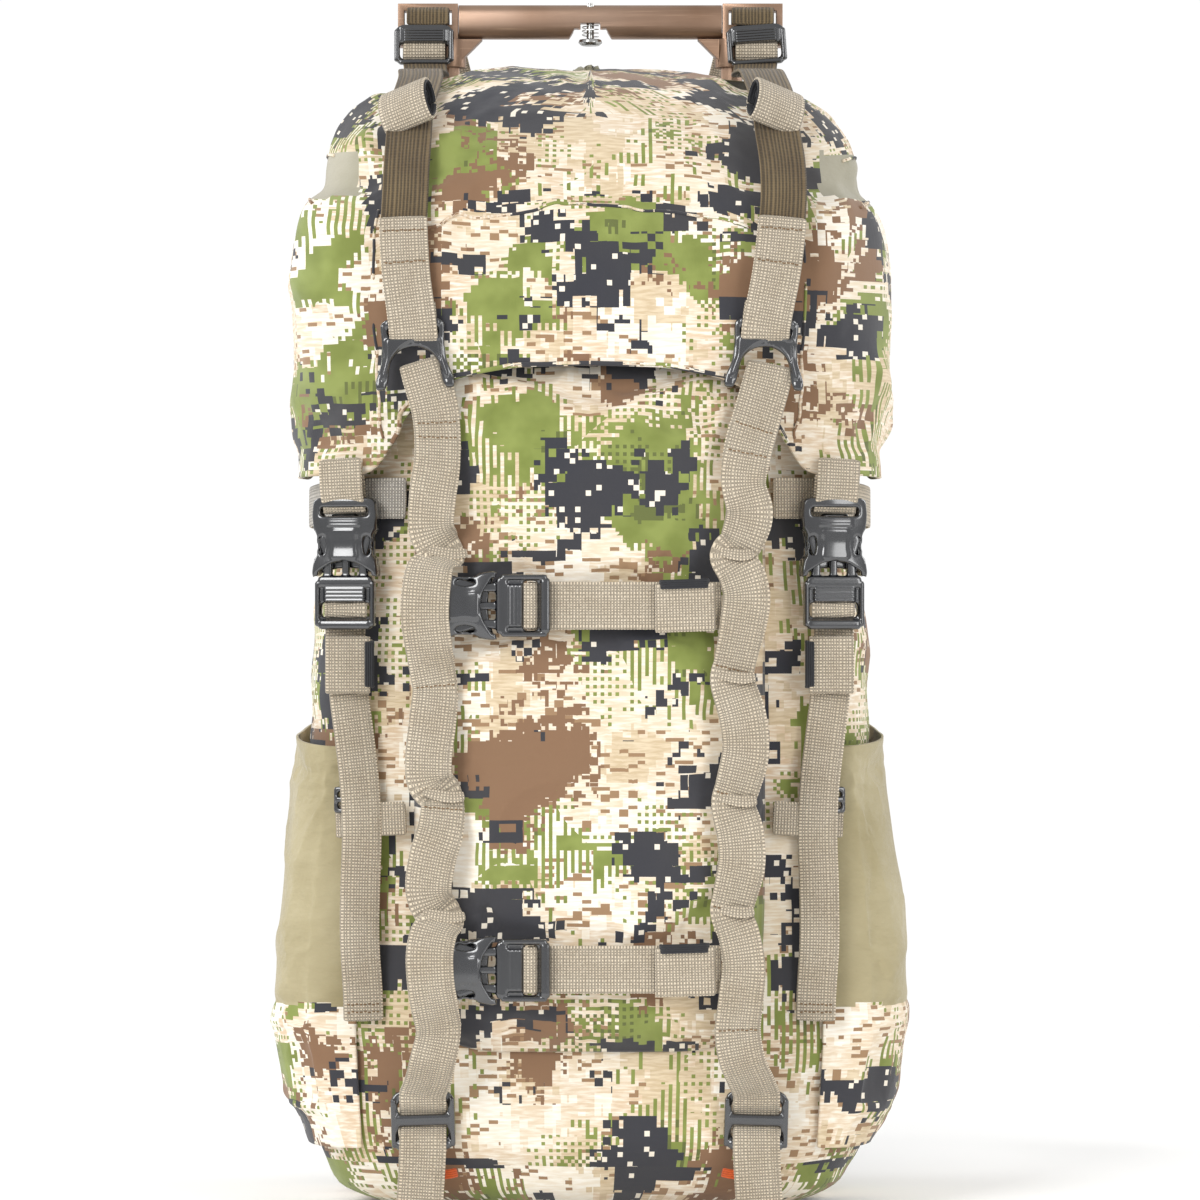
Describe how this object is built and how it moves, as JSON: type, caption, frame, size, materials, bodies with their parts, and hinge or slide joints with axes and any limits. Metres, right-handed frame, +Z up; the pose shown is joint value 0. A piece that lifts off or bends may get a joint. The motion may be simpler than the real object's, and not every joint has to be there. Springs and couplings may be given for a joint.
{
  "type": "hunting backpack",
  "caption": "Camouflaged external-frame hunting backpack with a hooded lid, front pocket, lash straps, padded harness and a bar that pops up on telescoping rods.",
  "frame": {"origin": "centre of the base panel's resting face", "axes": "+Z up, -Y out of the front of the pack away from the wearer, +X to the right of someone looking at the front"},
  "size_m": [0.3412, 0.5052, 0.6655],
  "materials": {
    "camo_fabric": "printed square-cell camouflage in sand, green, brown and slate on plain-weave nylon",
    "stretch_fabric": "smooth stretch nylon, olive tan",
    "webbing": "ribbed nylon webbing, taupe",
    "dark_webbing": "ribbed nylon webbing, dark brown",
    "padding": "foam padding in a dark olive spacer mesh",
    "buckle_plastic": "moulded acetal, black, semi-gloss",
    "frame_plastic": "moulded nylon, black, matt",
    "frame_tube": "carbon fibre tube, clear coated",
    "bronze_metal": "anodised aluminium, bronze",
    "steel": "turned stainless steel"
  },
  "bodies": {
    "pack": {"main_bag": "camo_fabric", "front_pocket": "camo_fabric", "side_pocket_left": "stretch_fabric", "side_pocket_right": "stretch_fabric", "frame_tube_left": "frame_tube", "frame_tube_right": "frame_tube", "tube_collar_left": "frame_plastic", "tube_collar_right": "frame_plastic", "frame_lower_bar": "frame_plastic", "frame_mid_bar": "frame_plastic", "framesheet": "frame_plastic", "strap_riser_left": "dark_webbing", "strap_riser_right": "dark_webbing", "daisy_chain_left": "webbing", "daisy_chain_right": "webbing", "lower_ladder_lock_left": "buckle_plastic", "lower_ladder_lock_right": "buckle_plastic", "front_strap_upper": "webbing", "front_strap_lower": "webbing", "front_buckle_female_upper": "buckle_plastic", "front_buckle_female_lower": "buckle_plastic", "side_strap_left": "webbing", "side_strap_right": "webbing", "compression_strap_left": "webbing", "compression_strap_right": "webbing", "yoke_pad": "padding", "back_pad": "padding", "lumbar_pad": "padding", "shoulder_strap_left": "padding", "shoulder_strap_right": "padding", "load_lifter_left": "dark_webbing", "load_lifter_right": "dark_webbing", "sternum_strap": "webbing"},
    "pop_up_frame": {"pop_up_rod_left": "bronze_metal", "pop_up_rod_right": "bronze_metal", "crossbar_bracket_left": "bronze_metal", "crossbar_bracket_right": "bronze_metal", "top_crossbar": "bronze_metal", "top_ladder_lock_left": "buckle_plastic", "top_ladder_lock_right": "buckle_plastic"},
    "release_knob": {"release_plunger": "steel", "release_spring": "steel"},
    "lid": {"lid": "camo_fabric", "top_strap_left": "dark_webbing", "top_strap_right": "dark_webbing", "strap_hook_left": "buckle_plastic", "strap_hook_right": "buckle_plastic", "side_buckle_female_left": "buckle_plastic", "side_buckle_female_right": "buckle_plastic"},
    "zip_slider": {"lid_zip_slider": "steel"},
    "front_adjuster_upper": {"front_buckle_male_upper": "buckle_plastic"},
    "front_adjuster_lower": {"front_buckle_male_lower": "buckle_plastic"},
    "side_adjuster_left": {"side_buckle_male_left": "buckle_plastic"},
    "side_adjuster_right": {"side_buckle_male_right": "buckle_plastic"},
    "belt_wing_left": {"hip_belt_left": "padding", "belt_webbing_left": "dark_webbing", "hip_buckle_male": "buckle_plastic"},
    "belt_wing_right": {"hip_belt_right": "padding", "belt_webbing_right": "dark_webbing", "hip_buckle_female": "buckle_plastic"}
  },
  "joints": [
    {"name": "pop_up_slide", "type": "slide", "parent": "pack", "child": "pop_up_frame", "axis": [0, 0, 1], "range_m": [0, 0.15], "deforming": ["strap_riser_left", "strap_riser_right", "load_lifter_left", "load_lifter_right"]},
    {"name": "release_press", "type": "slide", "parent": "pop_up_frame", "child": "release_knob", "axis": [0, 0, 1], "range_m": [0, 0.004], "stiffness_N_per_m": 800, "springref_m": -0.004, "deforming": ["release_spring"]},
    {"name": "lid_hinge", "type": "hinge", "parent": "pack", "child": "lid", "pos_m": [0, 0.066, 0.596], "axis": [-1, 0, 0], "range_deg": [0, 70]},
    {"name": "lid_zip", "type": "slide", "parent": "lid", "child": "zip_slider", "axis": [1, 0, 0], "range_m": [0, 0.07]},
    {"name": "front_adjuster_upper_slide", "type": "slide", "parent": "pack", "child": "front_adjuster_upper", "axis": [1, 0, 0], "range_m": [0, 0.035]},
    {"name": "front_adjuster_lower_slide", "type": "slide", "parent": "pack", "child": "front_adjuster_lower", "axis": [1, 0, 0], "range_m": [0, 0.035]},
    {"name": "side_adjuster_left_slide", "type": "slide", "parent": "pack", "child": "side_adjuster_left", "axis": [0, 0, -1], "range_m": [0, 0.035]},
    {"name": "side_adjuster_right_slide", "type": "slide", "parent": "pack", "child": "side_adjuster_right", "axis": [0, 0, -1], "range_m": [0, 0.035]},
    {"name": "belt_wing_left_hinge", "type": "hinge", "parent": "pack", "child": "belt_wing_left", "pos_m": [-0.099, 0.12, 0.135], "axis": [0, 0, 1], "range_deg": [0, 50]},
    {"name": "belt_wing_right_hinge", "type": "hinge", "parent": "pack", "child": "belt_wing_right", "pos_m": [0.099, 0.12, 0.135], "axis": [0, 0, -1], "range_deg": [0, 50]}
  ]
}
